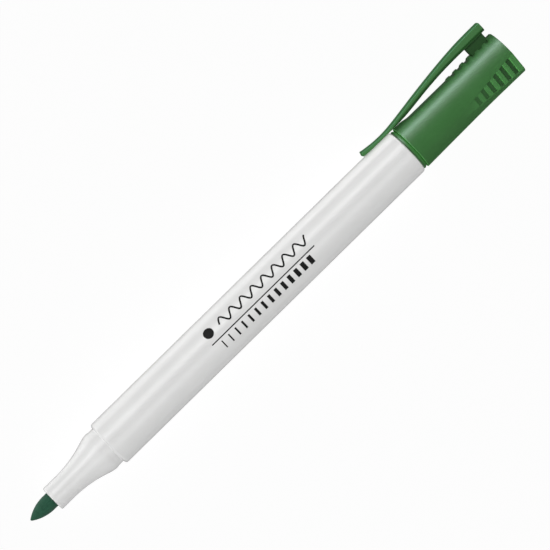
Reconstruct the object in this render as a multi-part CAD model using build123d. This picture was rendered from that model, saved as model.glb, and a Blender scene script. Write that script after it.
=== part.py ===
from build123d import *
import os

# Slim bullet-nib whiteboard marker, lying on its side with the cap pushed on its rear end.
# Units are millimetres. +X runs along the pen axis from the nib to the cap's closed end,
# +Y points from the axis to the pocket clip and +Z is up. The origin is on the axis, in the
# plane of the barrel's front shoulder, where the rim of the closed cap comes to rest.

# Barrel: one white moulding with a drawn-in nose.
BARREL_R = 6.0
BARREL_END_X = 96.1
BARREL_EDGE_R = 0.55
SHOULDER_EDGE_R = 0.7
NECK_R = 5.12
NECK_LENGTH = 1.1
BEAD_R = 5.25
BEAD_X = -2.2
NOZZLE_R = 3.23
NOZZLE_FACE_X = -17.78
NOZZLE_LENGTH = 4.38
NOZZLE_EDGE_R = 0.35
BORE_R = 4.9
BORE_START_X = 6.0
BORE_TAPER = 1.6
SEAT_R = 4.25
SEAT_X = 1.0
SEAT_LIP = 0.3
NOSE_CAVITY_X = -9.5
GUIDE_RIB_COUNT = 6
GUIDE_RIB_WIDTH = 0.6
GUIDE_RIB_TIP_R = 4.22
GUIDE_RIB_BACK_X = 85.0
VENT_COUNT = 4
VENT_FIRST_ANGLE = 45.0
VENT_WIDTH = 0.5
VENT_DEPTH = 0.3
VENT_BACK_X = -8.5

# Nib: acrylic fibre rod with a bullet point in front and a blunt cone at the tail.
NIB_R = 2.0
NIB_TIP_X = -24.7
NIB_POINT_LENGTH = 5.7
NIB_TIP_R = 0.27
NIB_TIP_TURN = 60.0
NIB_TAIL_X = 9.2
NIB_TAIL_CONE = 2.2
NIB_TAIL_R = 1.1
NIB_CLEARANCE = 0.02

# Ink reservoir: fibre core in a film sleeve.
RESERVOIR_FRONT_X = 1.2
RESERVOIR_BACK_X = 85.3
CORE_R = 4.05
FILM_THICKNESS = 0.12
CORE_SOCKET_X = 9.6

# Rear plug: pressed into the barrel, with a collar outside, a step that fills the cap's mouth
# and a spigot that holds the cap.
PLUG_FRONT_X = 86.0
PLUG_R = 4.88
PLUG_WALL = 1.1
PLUG_LEAD_IN = (0.6, 0.3)
COLLAR_R = 5.66
COLLAR_WIDTH = 0.59
COLLAR_EDGE_R = 0.12
COLLAR_CONE_LENGTH = 0.42
STEP_R = 5.2
STEP_LENGTH = 1.2
STEP_TAPER = 0.3
SPIGOT_R = 4.75
SPIGOT_LENGTH = 9.6
SPIGOT_CHAMFER = 0.6

# Cap shell: slightly waisted tube, closed at the far end.
RIM_X = 97.2
CAP_LENGTH = 31.46
CAP_RIM_R = 5.90
CAP_MIDWAY_R = 5.76
CAP_WAIST_R = 5.685
CAP_WAIST_X = 118.5
CAP_END_R = 5.80
CAP_RIM_EDGE_R = 0.1
CAP_END_EDGE_R = 0.15
MOUTH_R = 5.3
MOUTH_DEPTH = 4.4
MOUTH_TAPER = 0.5
CAP_BORE_R = 4.8
CAP_BORE_DEPTH = 12.2
SEAL_POCKET_R = 4.2
CAP_END_WALL = 1.35

# Rib groups near the closed end, one facing the clip and one 120 degrees to each side.
RIB_PITCH = 2.21
SLOT_COUNT = 6
CLIP_RIB_FRONT_X = 114.0
CLIP_RIB_WIDTH = 1.1
SIDE_SLOT_FRONT_X = 115.02
SIDE_SLOT_WIDTH = 1.01
SIDE_GROUP_ANGLE = 120.0
FACET_START_X = 109.0
FACET_START_Y = 5.75
FACET_END_Y = 5.06
FACET_MARGIN = 0.1
SLOT_DEPTH_FIRST = 0.15
SLOT_DEPTH_LAST = 0.42
RUNWAY_Y = 5.26
RUNWAY_HALF_WIDTH = 2.75
RUNWAY_FADE_FROM_X = 98.6
RUNWAY_FADE_TO_X = 102.2

# Pocket clip and the bridge block that carries it.
BLOCK_FRONT_X = 121.9
BLOCK_BACK_X = 127.15
BLOCK_HALF_WIDTH = 1.7
BLOCK_BASE_Y = 4.8
LEDGE_Y = 5.98
LEDGE_BACK_X = 128.5
CLIP_END_X = 128.15
CLIP_TOP_Y = 9.92
CLIP_END_TOP_Y = 10.02
CLIP_UNDER_Y = 7.68
CLIP_HALF_WIDTH = 2.3
CLIP_FOOT_HALF_WIDTH = 2.0
CLIP_FOOT_X = 87.87
CLIP_FOOT_LEAN = 0.22
CLIP_FOOT_CORNER_R = 0.15
CLIP_CHAMFER = 0.55
CLIP_EDGE_R = 0.45
# Outer and under faces of the clip arm, from the foot to the bridge block.
CLIP_OUTER = [
    (CLIP_FOOT_X + CLIP_FOOT_LEAN, 7.48),
    (94.3, 6.92),
    (100.0, 7.46),
    (105.6, 8.26),
    (115.4, 9.44),
    (BLOCK_FRONT_X, CLIP_TOP_Y),
]
CLIP_UNDER = [
    (CLIP_FOOT_X, 6.31),
    (94.3, 6.20),
    (99.6, 6.16),
    (107.5, 6.96),
    (115.4, 7.60),
    (BLOCK_FRONT_X, CLIP_UNDER_Y),
]

# Inner cap: soft liner that closes on the nozzle when the cap is on the nib.
SEAL_R = 4.15
SEAL_FRONT_X = 110.3
SEAL_BACK_X = 125.4
SEAL_BORE_R = 3.28
SEAL_MOUTH_R = 3.75
SEAL_MOUTH_DEPTH = 0.9
SEAL_BORE_DEPTH = 6.0
SEAL_STEP_TAPER = 0.7
SEAL_NIB_R = 2.6
SEAL_END_WALL = 1.2

# How far a piece that is added runs into the wall that it joins, and how far a cutter overshoots.
OVERLAP = 0.2
OVERSHOOT = 1.0

CAP_END_X = RIM_X + CAP_LENGTH
COLLAR_BACK_X = BARREL_END_X + COLLAR_WIDTH
CUT_TOP_Y = CAP_RIM_R + OVERSHOOT


def turned(edges):
    """Solid of revolution about the pen axis from a closed outline of (x, radius) edges."""
    return revolve(make_face(edges), Axis.X, 360)


def rounded(solid, x, radius, size):
    """Round the circular edges of the given radius at one place along the pen axis."""
    rings = [
        edge
        for edge in solid.edges().filter_by(GeomType.CIRCLE)
        if abs(edge.arc_center.X - x) < 0.01 and abs(edge.radius - radius) < 0.01
    ]
    return fillet(rings, size)


def block(x_range, y_range, half_width):
    """Straight block between two x and two y values, centred on z = 0."""
    width = x_range[1] - x_range[0]
    height = y_range[1] - y_range[0]
    centre = ((x_range[0] + x_range[1]) / 2, (y_range[0] + y_range[1]) / 2, 0)
    return Pos(*centre) * Box(width, height, 2 * half_width)


def plate(edges, half_width):
    """Plate with a closed outline in the XY plane, centred on z = 0."""
    return extrude(make_face(edges), half_width, both=True)


def around(solid, angle):
    """Turn a solid about the pen axis, from the clip's side towards +Z."""
    return Rot(angle, 0, 0) * solid


def make_barrel():
    nozzle_back_x = NOZZLE_FACE_X + NOZZLE_LENGTH
    neck_front_x = -NECK_LENGTH
    nose = Spline(
        [(nozzle_back_x, NOZZLE_R), (-7.9, 3.83), (-4.6, 4.72), (BEAD_X, BEAD_R)],
        tangents=[(1, 0.02), (1, 0)],
    )
    bead_back = Spline([(BEAD_X, BEAD_R), (neck_front_x, NECK_R)], tangents=[(1, 0), (1, 0)])
    outer_front = Polyline([(NOZZLE_FACE_X, NIB_R + NIB_CLEARANCE), (NOZZLE_FACE_X, NOZZLE_R),
                            (nozzle_back_x, NOZZLE_R)])
    rest = Polyline([
        (neck_front_x, NECK_R),
        (0, NECK_R),
        (0, BARREL_R),
        (BARREL_END_X, BARREL_R),
        (BARREL_END_X, BORE_R),
        (BORE_START_X, BORE_R),
        (BORE_START_X - BORE_TAPER, SEAT_R),
        (SEAT_X, SEAT_R),
        (SEAT_X, SEAT_R - SEAT_LIP),
        (NOSE_CAVITY_X, NIB_R + NIB_CLEARANCE),
        (NOZZLE_FACE_X, NIB_R + NIB_CLEARANCE),
    ])
    barrel = turned(outer_front + nose + bead_back + rest)
    barrel = rounded(barrel, NOZZLE_FACE_X, NOZZLE_R, NOZZLE_EDGE_R)
    barrel = rounded(barrel, 0, BARREL_R, SHOULDER_EDGE_R)
    barrel = rounded(barrel, BARREL_END_X, BARREL_R, BARREL_EDGE_R)
    rib_x = (BORE_START_X - BORE_TAPER - OVERLAP, GUIDE_RIB_BACK_X)
    for index in range(GUIDE_RIB_COUNT):
        rib = block(rib_x, (GUIDE_RIB_TIP_R, BORE_R + OVERLAP), GUIDE_RIB_WIDTH / 2)
        barrel += around(rib, index * 360 / GUIDE_RIB_COUNT)
    vent_x = (NOZZLE_FACE_X - OVERSHOOT, VENT_BACK_X)
    for index in range(VENT_COUNT):
        vent = block(vent_x, (NIB_R - OVERLAP, NIB_R + VENT_DEPTH), VENT_WIDTH / 2)
        barrel -= around(vent, VENT_FIRST_ANGLE + index * 360 / VENT_COUNT)
    return barrel


def make_nib():
    shoulder_x = NIB_TIP_X + NIB_POINT_LENGTH
    tip = CenterArc((NIB_TIP_X + NIB_TIP_R, 0), NIB_TIP_R, 180, -NIB_TIP_TURN)
    point = TangentArc([(shoulder_x, NIB_R), tip @ 1], tangent=(-1, 0))
    rod = Polyline([
        (shoulder_x, NIB_R),
        (NIB_TAIL_X - NIB_TAIL_CONE, NIB_R),
        (NIB_TAIL_X, NIB_TAIL_R),
        (NIB_TAIL_X, 0),
        (NIB_TIP_X, 0),
    ])
    return turned(tip + point + rod)


def make_ink_reservoir():
    socket_r = NIB_R + NIB_CLEARANCE
    outline = Polyline([
        (RESERVOIR_FRONT_X, socket_r),
        (RESERVOIR_FRONT_X, CORE_R),
        (RESERVOIR_BACK_X, CORE_R),
        (RESERVOIR_BACK_X, 0),
        (CORE_SOCKET_X, 0),
        (CORE_SOCKET_X, socket_r),
        (RESERVOIR_FRONT_X, socket_r),
    ])
    return turned(outline)


def make_reservoir_film():
    outer_r = CORE_R + FILM_THICKNESS
    outline = Polyline([
        (RESERVOIR_FRONT_X, CORE_R),
        (RESERVOIR_FRONT_X, outer_r),
        (RESERVOIR_BACK_X, outer_r),
        (RESERVOIR_BACK_X, CORE_R),
        (RESERVOIR_FRONT_X, CORE_R),
    ])
    return turned(outline)


def make_rear_plug():
    cone_back_x = COLLAR_BACK_X + COLLAR_CONE_LENGTH
    step_back_x = cone_back_x + STEP_LENGTH
    spigot_end_x = COLLAR_BACK_X + SPIGOT_LENGTH
    inner_r = PLUG_R - PLUG_WALL
    lead_length, lead_height = PLUG_LEAD_IN
    outline = Polyline([
        (PLUG_FRONT_X, inner_r),
        (PLUG_FRONT_X, PLUG_R - lead_height),
        (PLUG_FRONT_X + lead_length, PLUG_R),
        (BARREL_END_X, PLUG_R),
        (BARREL_END_X, COLLAR_R),
        (COLLAR_BACK_X, COLLAR_R),
        (cone_back_x, STEP_R),
        (step_back_x, STEP_R),
        (step_back_x + STEP_TAPER, SPIGOT_R),
        (spigot_end_x - SPIGOT_CHAMFER, SPIGOT_R),
        (spigot_end_x, SPIGOT_R - SPIGOT_CHAMFER),
        (spigot_end_x, 0),
        (spigot_end_x - PLUG_WALL, 0),
        (spigot_end_x - PLUG_WALL, inner_r),
        (PLUG_FRONT_X, inner_r),
    ])
    plug = turned(outline)
    return rounded(plug, COLLAR_BACK_X, COLLAR_R, COLLAR_EDGE_R)


def slot_spans(first_x, width):
    """Front and back of each slot between the ribs of a group."""
    fronts = [first_x + index * RIB_PITCH for index in range(SLOT_COUNT)]
    return [(front_x, front_x + width) for front_x in fronts]


def facet_y(x):
    """Height of a side group's tapering flat above the pen axis."""
    share = (x - FACET_START_X) / (CAP_END_X - FACET_START_X)
    return FACET_START_Y + (FACET_END_Y - FACET_START_Y) * share


def side_group_cutter():
    """What one side group takes out of the cap: a tapering flat with pockets sunk in it."""
    end_x = CAP_END_X + OVERSHOOT
    flat = Polyline([
        (FACET_START_X, facet_y(FACET_START_X)),
        (FACET_START_X, CUT_TOP_Y),
        (end_x, CUT_TOP_Y),
        (end_x, facet_y(end_x)),
        (FACET_START_X, facet_y(FACET_START_X)),
    ])
    cutter = plate(flat, CAP_RIM_R)
    for index, (front_x, back_x) in enumerate(slot_spans(SIDE_SLOT_FRONT_X, SIDE_SLOT_WIDTH)):
        depth = SLOT_DEPTH_FIRST + (SLOT_DEPTH_LAST - SLOT_DEPTH_FIRST) * index / (SLOT_COUNT - 1)
        flat_half_width = (CAP_WAIST_R**2 - facet_y(front_x)**2) ** 0.5
        y_range = (facet_y(back_x) - depth, CUT_TOP_Y)
        cutter += block((front_x, back_x), y_range, flat_half_width - FACET_MARGIN)
    return cutter


def clip_group_cutter():
    """What the clip's side takes out of the cap: a runway under the arm, then slots."""
    fade_start = (RUNWAY_FADE_FROM_X, CAP_RIM_R)
    runway = Polyline([
        fade_start,
        (RUNWAY_FADE_FROM_X, CUT_TOP_Y),
        (CLIP_RIB_FRONT_X, CUT_TOP_Y),
        (CLIP_RIB_FRONT_X, RUNWAY_Y),
        (RUNWAY_FADE_TO_X, RUNWAY_Y),
        fade_start,
    ])
    cutter = plate(runway, RUNWAY_HALF_WIDTH)
    first_slot_x = CLIP_RIB_FRONT_X + CLIP_RIB_WIDTH
    for x_range in slot_spans(first_slot_x, RIB_PITCH - CLIP_RIB_WIDTH):
        cutter += block(x_range, (RUNWAY_Y, CUT_TOP_Y), RUNWAY_HALF_WIDTH)
    return cutter


def trimmed(strip):
    """Chamfer the under edges of a length of clip and round its outer edges."""
    middle_x = strip.center().X
    long_edges = []
    for edge in strip.edges():
        span = edge.bounding_box()
        if span.min.X < middle_x < span.max.X:
            long_edges.append(edge)
    long_edges.sort(key=lambda edge: edge.center().Y)
    strip = chamfer(long_edges[:2], CLIP_CHAMFER)
    long_edges = [edge for edge in strip.edges() if edge.bounding_box().size.X > CLIP_EDGE_R * 4]
    long_edges.sort(key=lambda edge: edge.center().Y)
    return fillet(long_edges[-2:], CLIP_EDGE_R)


def make_cap_shell():
    mouth_end_x = RIM_X + MOUTH_DEPTH
    bore_end_x = RIM_X + CAP_BORE_DEPTH
    inner_end_x = CAP_END_X - CAP_END_WALL
    side = Spline([
        (RIM_X, CAP_RIM_R),
        ((RIM_X + CAP_WAIST_X) / 2, CAP_MIDWAY_R),
        (CAP_WAIST_X, CAP_WAIST_R),
        (CAP_END_X, CAP_END_R),
    ])
    inside = Polyline([
        (CAP_END_X, CAP_END_R),
        (CAP_END_X, 0),
        (inner_end_x, 0),
        (inner_end_x, SEAL_POCKET_R),
        (bore_end_x, SEAL_POCKET_R),
        (bore_end_x, CAP_BORE_R),
        (mouth_end_x + MOUTH_TAPER, CAP_BORE_R),
        (mouth_end_x, MOUTH_R),
        (RIM_X, MOUTH_R),
        (RIM_X, CAP_RIM_R),
    ])
    shell = turned(side + inside)
    shell = rounded(shell, CAP_END_X, CAP_END_R, CAP_END_EDGE_R)
    shell = rounded(shell, RIM_X, CAP_RIM_R, CAP_RIM_EDGE_R)
    for angle in (-SIDE_GROUP_ANGLE, SIDE_GROUP_ANGLE):
        shell -= around(side_group_cutter(), angle)
    shell -= clip_group_cutter()
    bridge_top_y = CLIP_UNDER_Y + OVERLAP
    bridge = plate(Polyline([
        (BLOCK_FRONT_X, BLOCK_BASE_Y),
        (BLOCK_FRONT_X, bridge_top_y),
        (BLOCK_BACK_X, bridge_top_y),
        (BLOCK_BACK_X, LEDGE_Y),
        (LEDGE_BACK_X, LEDGE_Y),
        (LEDGE_BACK_X, BLOCK_BASE_Y),
        (BLOCK_FRONT_X, BLOCK_BASE_Y),
    ]), BLOCK_HALF_WIDTH)
    root = plate(Polyline([
        (BLOCK_FRONT_X, CLIP_UNDER_Y),
        (BLOCK_FRONT_X, CLIP_TOP_Y),
        (CLIP_END_X, CLIP_END_TOP_Y),
        (CLIP_END_X, CLIP_UNDER_Y),
        (BLOCK_FRONT_X, CLIP_UNDER_Y),
    ]), CLIP_HALF_WIDTH)
    return shell + bridge + trimmed(root)


def make_inner_cap():
    step_x = SEAL_FRONT_X + SEAL_BORE_DEPTH
    inner_end_x = SEAL_BACK_X - SEAL_END_WALL
    outline = Polyline([
        (SEAL_FRONT_X, SEAL_MOUTH_R),
        (SEAL_FRONT_X, SEAL_R),
        (SEAL_BACK_X, SEAL_R),
        (SEAL_BACK_X, 0),
        (inner_end_x, 0),
        (inner_end_x, SEAL_NIB_R),
        (step_x + SEAL_STEP_TAPER, SEAL_NIB_R),
        (step_x, SEAL_BORE_R),
        (SEAL_FRONT_X + SEAL_MOUTH_DEPTH, SEAL_BORE_R),
        (SEAL_FRONT_X, SEAL_MOUTH_R),
    ])
    return turned(outline)


def make_clip():
    outer = Spline(CLIP_OUTER, tangents=[(1, -0.16), (1, 0.02)])
    under = Spline(CLIP_UNDER, tangents=[(1, -0.08), (1, 0)])
    foot_end = Line(CLIP_UNDER[0], CLIP_OUTER[0])
    root_end = Line(CLIP_OUTER[-1], CLIP_UNDER[-1])
    arm = trimmed(plate(outer + root_end + under + foot_end, CLIP_HALF_WIDTH))
    plan_start_x = CLIP_FOOT_X - OVERSHOOT
    plan = Polyline([
        (plan_start_x, -CLIP_FOOT_HALF_WIDTH),
        (BLOCK_FRONT_X, -CLIP_HALF_WIDTH),
        (BLOCK_FRONT_X, CLIP_HALF_WIDTH),
        (plan_start_x, CLIP_FOOT_HALF_WIDTH),
        (plan_start_x, -CLIP_FOOT_HALF_WIDTH),
    ])
    arm &= extrude(Plane.XZ * make_face(plan), 2 * CLIP_TOP_Y, both=True)
    upright_edges = arm.edges().filter_by(Axis.Y, tolerance=15)
    return fillet(upright_edges.sort_by(Axis.X)[:2], CLIP_FOOT_CORNER_R)


PIECES = {
    "barrel": make_barrel,
    "nib": make_nib,
    "ink_reservoir": make_ink_reservoir,
    "reservoir_film": make_reservoir_film,
    "rear_plug": make_rear_plug,
    "cap_shell": make_cap_shell,
    "inner_cap": make_inner_cap,
    "clip": make_clip,
}

os.makedirs("parts", exist_ok=True)
for name, make in PIECES.items():
    export_step(make(), f"parts/{name}.step")
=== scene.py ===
import math

import bpy
import numpy as np
from mathutils import Matrix, Vector


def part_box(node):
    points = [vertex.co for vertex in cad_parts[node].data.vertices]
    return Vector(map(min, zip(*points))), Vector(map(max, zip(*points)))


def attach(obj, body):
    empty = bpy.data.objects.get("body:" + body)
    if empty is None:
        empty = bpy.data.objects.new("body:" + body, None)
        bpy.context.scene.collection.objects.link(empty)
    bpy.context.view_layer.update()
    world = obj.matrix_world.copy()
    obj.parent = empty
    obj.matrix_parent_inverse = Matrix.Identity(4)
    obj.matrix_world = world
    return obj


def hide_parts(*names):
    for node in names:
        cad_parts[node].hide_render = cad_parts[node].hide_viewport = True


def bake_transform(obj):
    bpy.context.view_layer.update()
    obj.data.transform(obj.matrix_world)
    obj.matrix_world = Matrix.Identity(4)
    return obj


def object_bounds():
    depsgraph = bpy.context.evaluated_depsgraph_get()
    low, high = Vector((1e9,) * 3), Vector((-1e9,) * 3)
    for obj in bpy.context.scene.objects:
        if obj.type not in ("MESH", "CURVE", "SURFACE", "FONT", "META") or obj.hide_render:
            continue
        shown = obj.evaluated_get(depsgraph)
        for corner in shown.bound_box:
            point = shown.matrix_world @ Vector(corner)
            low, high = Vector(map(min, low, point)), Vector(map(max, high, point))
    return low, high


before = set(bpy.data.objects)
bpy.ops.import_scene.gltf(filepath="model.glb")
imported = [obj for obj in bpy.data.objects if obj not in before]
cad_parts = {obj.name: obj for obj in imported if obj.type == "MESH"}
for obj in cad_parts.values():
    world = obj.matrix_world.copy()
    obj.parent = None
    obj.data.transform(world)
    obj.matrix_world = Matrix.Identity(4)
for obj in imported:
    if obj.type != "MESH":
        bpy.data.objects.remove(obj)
cad_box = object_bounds()

# Lengths are millimetres in the frame of the CAD model: +X from the nib to the cap's closed end,
# +Y to the pocket clip, +Z up. Meshes are scaled to metres when they are made.
MM = 0.001


def node_box(node):
    """Lowest and highest corners of a CAD node, in millimetres."""
    low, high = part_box(node)
    return low / MM, high / MM


BARREL_LOW, BARREL_HIGH = node_box("barrel")
CAP_LOW, CAP_HIGH = node_box("cap_shell")
CLIP_LOW, CLIP_HIGH = node_box("clip")
NIB_LOW, NIB_HIGH = node_box("nib")
PLUG_LOW, PLUG_HIGH = node_box("rear_plug")
SPIGOT_END_X = PLUG_HIGH.x

# Barrel
BARREL_R = BARREL_HIGH.y
BARREL_END_X = BARREL_HIGH.x
BARREL_EDGE_R = 0.55
NOZZLE_FACE_X = BARREL_LOW.x
NOZZLE_R = 3.23
NOZZLE_BACK_X = NOZZLE_FACE_X + 4.38
NOZZLE_EDGE_R = 0.38
NOZZLE_MOUTH_CHAMFER = 0.12
NIB_BORE_R = 2.02
BEAD_X = -2.2
BEAD_R = 5.25
# Side of the nose from the nozzle to the snap bead, and its slope at the nozzle.
NOSE_SIDE = [(NOZZLE_BACK_X, NOZZLE_R), (-7.9, 3.83), (-4.6, 4.72), (BEAD_X, BEAD_R)]
NOSE_START_SLOPE = 0.02
NECK_R = 5.12
NECK_FRONT_X = -1.1
NECK_BACK_X = -0.3
NECK_FILLET_R = 0.12
SHOULDER_EDGE_R = 0.7
# Painted highlight at the foot of the shoulder, and the span of x where it lies.
SHOULDER_PAINTED_HIGHLIGHT = 0.3
SHOULDER_PAINTED_HIGHLIGHT_SPAN = (-0.2, 0.06)
BORE_R = 4.9
BORE_CHAMFER = 0.15
BORE_START_X = 6.0
BORE_TAPER = 1.6
SEAT_X = 1.0
SEAT_R = 4.25
SEAT_LIP = 0.3
NOSE_CAVITY_X = -9.5

# Print on the barrel; v is the arc length from the top of the barrel towards the clip
PRINT_TOP_R = BARREL_R + 0.012
PRINT_BASE_R = BARREL_R - 0.02
PRINT_START_X = 32.7
PRINT_END_X = 65.3
PRINT_RULE_V = 0.23
PRINT_RULE_WIDTH = 0.27
PRINT_WAVE_V = 2.85
PRINT_WAVE_HEIGHT = 1.05
PRINT_WAVE_LENGTH = 3.4
PRINT_WAVE_WIDTH = 0.42
PRINT_WAVE_GAP = 3.2
PRINT_DOT_R = 1.3
PRINT_DOT_TURN = math.radians(86)
PRINT_BARS_START_X = 35.0
PRINT_BARS_END_X = 62.5
PRINT_BARS_TOP_V = -0.5
PRINT_BARS_BOTTOM_V = -2.7
PRINT_BAR_COUNT = 14
PRINT_BAR_FIRST_WIDTH = 0.3
PRINT_BAR_LAST_WIDTH = 1.2

# Nib
NIB_R = NIB_HIGH.y
NIB_TIP_X = NIB_LOW.x
NIB_TAIL_X = NIB_HIGH.x
NIB_TAIL_CONE = 2.2
NIB_TAIL_R = 1.1
NIB_POINT_LENGTH = 5.7
NIB_TIP_R = 0.27
# Two points on the tip's ball, as shares of its radius behind the tip and away from the axis.
NIB_TIP_FRONT = (0.1, 0.46)
NIB_TIP_BACK = (0.35, 0.85)
NIB_SEGMENTS = 128

# Rear plug
PLUG_R = 4.88
PLUG_WALL = 1.1
PLUG_LEAD_IN = (0.6, 0.3)
PLUG_GAP = 0.15
COLLAR_R = PLUG_HIGH.y
COLLAR_WIDTH = 0.59
COLLAR_EDGE_R = 0.12
COLLAR_CONE_LENGTH = 0.42
STEP_R = 5.2
STEP_LENGTH = 1.2
STEP_TAPER = 0.3
# Painted highlight on the step behind the collar.
STEP_PAINTED_HIGHLIGHT = 0.55
SPIGOT_R = 4.75
# Rounded end of the spigot, as distances from its end and from its side.
SPIGOT_NOSE = [(0.6, 0.0), (0.15, 0.35), (0.0, 0.6)]

# Cap
RIM_X = CAP_LOW.x
CAP_END_X = CAP_HIGH.x
CAP_RIM_R = 5.90
CAP_MIDWAY_R = 5.76
CAP_WAIST_R = 5.685
CAP_WAIST_X = 118.5
CAP_END_R = 5.80
CAP_RIM_EDGE_R = 0.12
CAP_END_EDGE_R = 0.15
MOUTH_R = 5.3
MOUTH_CHAMFER = 0.08
MOUTH_DEPTH = 4.4
MOUTH_TAPER = 0.5
CAP_BORE_R = 4.8
CAP_BORE_DEPTH = 12.2
SEAL_POCKET_R = 4.2
CAP_END_WALL = 1.35
RIB_PITCH = 2.21
SLOT_COUNT = 6
# Ribs and slots grow to their full painted light and height up to this slot.
FULL_SLOT = 3
CLIP_RIB_FRONT_X = 114.0
CLIP_RIB_WIDTH = 1.1
CLIP_RIB_RISE = 0.15
CLIP_RIB_BREADTH = 2.6
SIDE_SLOT_FRONT_X = 115.02
SIDE_SLOT_WIDTH = 1.01
SIDE_GROUP_ANGLE = math.radians(120)
FACET_START_X = 109.0
FACET_START_Y = 5.75
FACET_END_Y = 5.06
FACET_MARGIN = 0.1
SLOT_DEPTH_FIRST = 0.15
SLOT_DEPTH_LAST = 0.42
RUNWAY_Y = 5.26
RUNWAY_FADE_FROM_X = 98.6
RUNWAY_FADE_TO_X = 102.2
LEDGE_Y = 5.98
LEDGE_BACK_X = 128.6
SLOT_WALL = 0.16
SLOT_BACK_WALL = 0.26
POCKET_WALL = 0.08
# The clip-side slots end in a gentle climb, and all of them start with a steep wall.
CLIMB = 0.5
CORNER_ROUNDING = 0.04
# Painted light on the cap's side: above 0 is a painted highlight, lighter than plain; below 0 is
# painted shade or shadow, darker.
RIM_PAINTED_HIGHLIGHT = 0.6
RIB_PAINTED_HIGHLIGHT = 0.36
RIB_EDGE_PAINTED_HIGHLIGHT = 0.45
SIDE_SLOT_PAINTED_SHADES = (-0.25, -0.45)
CLIP_SLOT_PAINTED_SHADE = -0.35
RUNWAY_PAINTED_SHADOW = -0.38
RUNWAY_RIM_PAINTED_SHADOW = -0.35
RUNWAY_PAINTED_SHADOW_ANGLES = (math.radians(20), math.radians(34))

# Clip and the block that carries it
BLOCK_FRONT_X = CLIP_HIGH.x
BLOCK_BACK_X = 127.15
BLOCK_HALF_WIDTH = 1.7
BLOCK_CORNER_R = 0.3
BLOCK_FILLET_R = 0.3
BLOCK_INTO_CLIP = 0.3
# Painted shade on the block under the clip, and on the ledge behind it.
BLOCK_PAINTED_SHADE = -0.8
LEDGE_EDGE = 0.12
LEDGE_PAINTED_SHADE = -0.3
CLIP_FOOT_X = CLIP_LOW.x
CLIP_END_X = 128.15
CLIP_TOP_Y = CLIP_HIGH.y
CLIP_END_TOP_Y = CAP_HIGH.y
CLIP_UNDER_Y = 7.68
CLIP_HALF_WIDTH = CLIP_HIGH.z
CLIP_FOOT_HALF_WIDTH = 2.0
CLIP_FOOT_CORNER_R = 0.15
CLIP_FOOT_LEAN = 0.22
CLIP_FOOT_LEAN_LENGTH = 2.0
CLIP_FOOT_EDGE_R = 0.14
CLIP_END_EDGE_R = 0.1
CLIP_CROWN = 0.05
CLIP_EDGE_R = 0.45
CLIP_CHAMFER = 0.55
CLIP_FOOT_CHAMFER = 0.1
# Painted shade on the chamfer and the face under the arm, which turn away from the light.
CLIP_UNDER_PAINTED_SHADE = -0.75
# The chamfer and the painted shade under the arm grow over this span behind the foot's end.
CLIP_CHAMFER_SPAN = (CLIP_FOOT_X + 7, CLIP_FOOT_X + 13)
# Outer and under faces of the arm, with their slopes at the foot and at the closed end.
CLIP_OUTER = [
    (CLIP_FOOT_X, 7.48),
    (94.3, 6.92),
    (100.0, 7.46),
    (105.6, 8.26),
    (115.4, 9.44),
    (BLOCK_FRONT_X, CLIP_TOP_Y),
    (CLIP_END_X, CLIP_END_TOP_Y),
]
CLIP_OUTER_SLOPES = (-0.16, 0.014)
CLIP_UNDER = [
    (CLIP_FOOT_X, 6.31),
    (94.3, 6.20),
    (99.6, 6.16),
    (107.5, 6.96),
    (115.4, 7.60),
    (BLOCK_FRONT_X, CLIP_UNDER_Y),
    (CLIP_END_X, CLIP_UNDER_Y),
]
CLIP_UNDER_SLOPES = (-0.08, 0.0)

ROUND_SEGMENTS = 192
CAP_SEGMENTS = 480
# Faces that meet at more than this angle keep a hard edge between them.
HARD_ANGLE = math.radians(38)


# ---------------------------------------------------------------- curves and meshes


def cubic(points, start_slope=None, end_slope=None):
    """Smooth function through (x, y) points; an end with no slope given is left free."""
    xs = np.array([p[0] for p in points], float)
    ys = np.array([p[1] for p in points], float)
    count = len(xs)
    h = np.diff(xs)
    rise = np.diff(ys) / h
    a = np.zeros((count, count))
    b = np.zeros(count)
    for i in range(1, count - 1):
        a[i, i - 1] = h[i]
        a[i, i] = 2 * (h[i - 1] + h[i])
        a[i, i + 1] = h[i - 1]
        b[i] = 3 * (h[i] * rise[i - 1] + h[i - 1] * rise[i])
    a[0, 0] = 1 if start_slope is not None else 2
    a[0, 1] = 0 if start_slope is not None else 1
    b[0] = start_slope if start_slope is not None else 3 * rise[0]
    a[-1, -1] = 1 if end_slope is not None else 2
    a[-1, -2] = 0 if end_slope is not None else 1
    b[-1] = end_slope if end_slope is not None else 3 * rise[-1]
    slopes = np.linalg.solve(a, b)

    def value(x):
        x = np.clip(np.asarray(x, float), xs[0], xs[-1])
        i = np.clip(np.searchsorted(xs, x) - 1, 0, count - 2)
        t = (x - xs[i]) / h[i]
        return (
            ys[i] * (1 + 2 * t) * (1 - t) ** 2
            + slopes[i] * h[i] * t * (1 - t) ** 2
            + ys[i + 1] * t**2 * (3 - 2 * t)
            - slopes[i + 1] * h[i] * t**2 * (1 - t)
        )

    return value


def arc(centre, radius, start, end, steps=6):
    """Points on an arc; start and end are degrees from +X towards larger radii."""
    angles = np.radians(np.linspace(start, end, steps + 1))
    return [(centre[0] + radius * math.cos(a), centre[1] + radius * math.sin(a)) for a in angles]


def smooth_step(x, start, end):
    """0 before start and 1 behind end, with a smooth rise between them."""
    t = np.clip((x - start) / (end - start), 0, 1)
    return t * t * (3 - 2 * t)


def soft_min(a, b, size):
    """Smaller of two values, with the corner between them rounded over about that size."""
    h = np.clip(0.5 + 0.5 * (b - a) / size, 0, 1)
    return b + (a - b) * h - size * h * (1 - h)


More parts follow.
